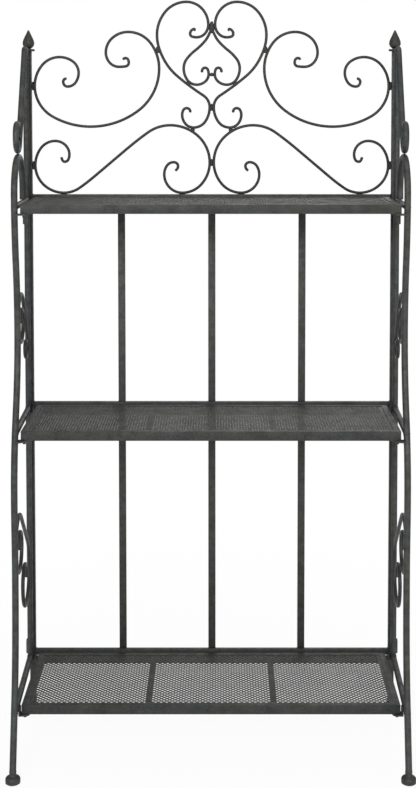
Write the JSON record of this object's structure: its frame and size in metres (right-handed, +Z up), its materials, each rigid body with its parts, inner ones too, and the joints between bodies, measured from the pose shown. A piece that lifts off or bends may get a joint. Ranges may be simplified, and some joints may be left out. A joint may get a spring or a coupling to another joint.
{
  "type": "bakers rack",
  "caption": "Folding wrought-iron bakers rack with perforated lift-up shelves, curved side frames with scrolls, a slatted back and a scrolled crest with finials.",
  "frame": {"origin": "on the floor, at the centre of the outer box's footprint", "axes": "+Z up, -Y towards the front, X along the shelves"},
  "size_m": [0.8212, 0.3744, 1.561],
  "materials": {
    "frame": "satin",
    "scroll": "satin",
    "sheet": "satin",
    "glide": "matte"
  },
  "bodies": {
    "rack_frame": {"back_post_left": "frame", "back_post_right": "frame", "back_rail_bottom": "frame", "back_rail_middle": "frame", "back_rail_top": "frame", "back_slat_centre": "frame", "back_slat_left": "frame", "back_slat_right": "frame", "c_scroll_left": "scroll", "c_scroll_right": "scroll", "catch_tabs_left": "frame", "catch_tabs_right": "frame", "crest_welds": "scroll", "crossbar_bottom_left": "frame", "crossbar_bottom_right": "frame", "crossbar_middle_left": "frame", "crossbar_middle_right": "frame", "crossbar_top_left": "frame", "crossbar_top_right": "frame", "finial_left": "frame", "finial_right": "frame", "front_foot_left": "frame", "front_foot_right": "frame", "front_glides": "glide", "front_leg_left": "frame", "front_leg_right": "frame", "heart_scroll_left": "scroll", "heart_scroll_right": "scroll", "hinge_pins": "frame", "hinge_sleeves": "frame", "inner_scroll_left": "scroll", "inner_scroll_right": "scroll", "lower_bay_scroll_left": "scroll", "lower_bay_scroll_right": "scroll", "pivot_ears": "frame", "rear_glides": "glide", "s_scroll_left": "scroll", "s_scroll_right": "scroll", "side_stile_left": "frame", "side_stile_right": "frame", "upper_bay_scroll_left": "scroll", "upper_bay_scroll_right": "scroll"},
    "shelf_top": {"shelf_rim_top": "frame", "shelf_sheet_top": "sheet", "shelf_stiffeners_top": "frame", "shelf_pins_top": "frame"},
    "shelf_middle": {"shelf_rim_middle": "frame", "shelf_sheet_middle": "sheet", "shelf_stiffeners_middle": "frame", "shelf_pins_middle": "frame"},
    "shelf_bottom": {"shelf_rim_bottom": "frame", "shelf_sheet_bottom": "sheet", "shelf_stiffeners_bottom": "frame", "shelf_pins_bottom": "frame"}
  },
  "joints": [
    {"name": "shelf_top_lift", "type": "hinge", "parent": "rack_frame", "child": "shelf_top", "pos_m": [0, 0.15512, 1.1285], "axis": [-1, 0, 0], "range_deg": [0, 90]},
    {"name": "shelf_middle_lift", "type": "hinge", "parent": "rack_frame", "child": "shelf_middle", "pos_m": [0, 0.15512, 0.6745], "axis": [-1, 0, 0], "range_deg": [0, 90]},
    {"name": "shelf_bottom_lift", "type": "hinge", "parent": "rack_frame", "child": "shelf_bottom", "pos_m": [0, 0.15512, 0.123], "axis": [-1, 0, 0], "range_deg": [0, 90]}
  ]
}
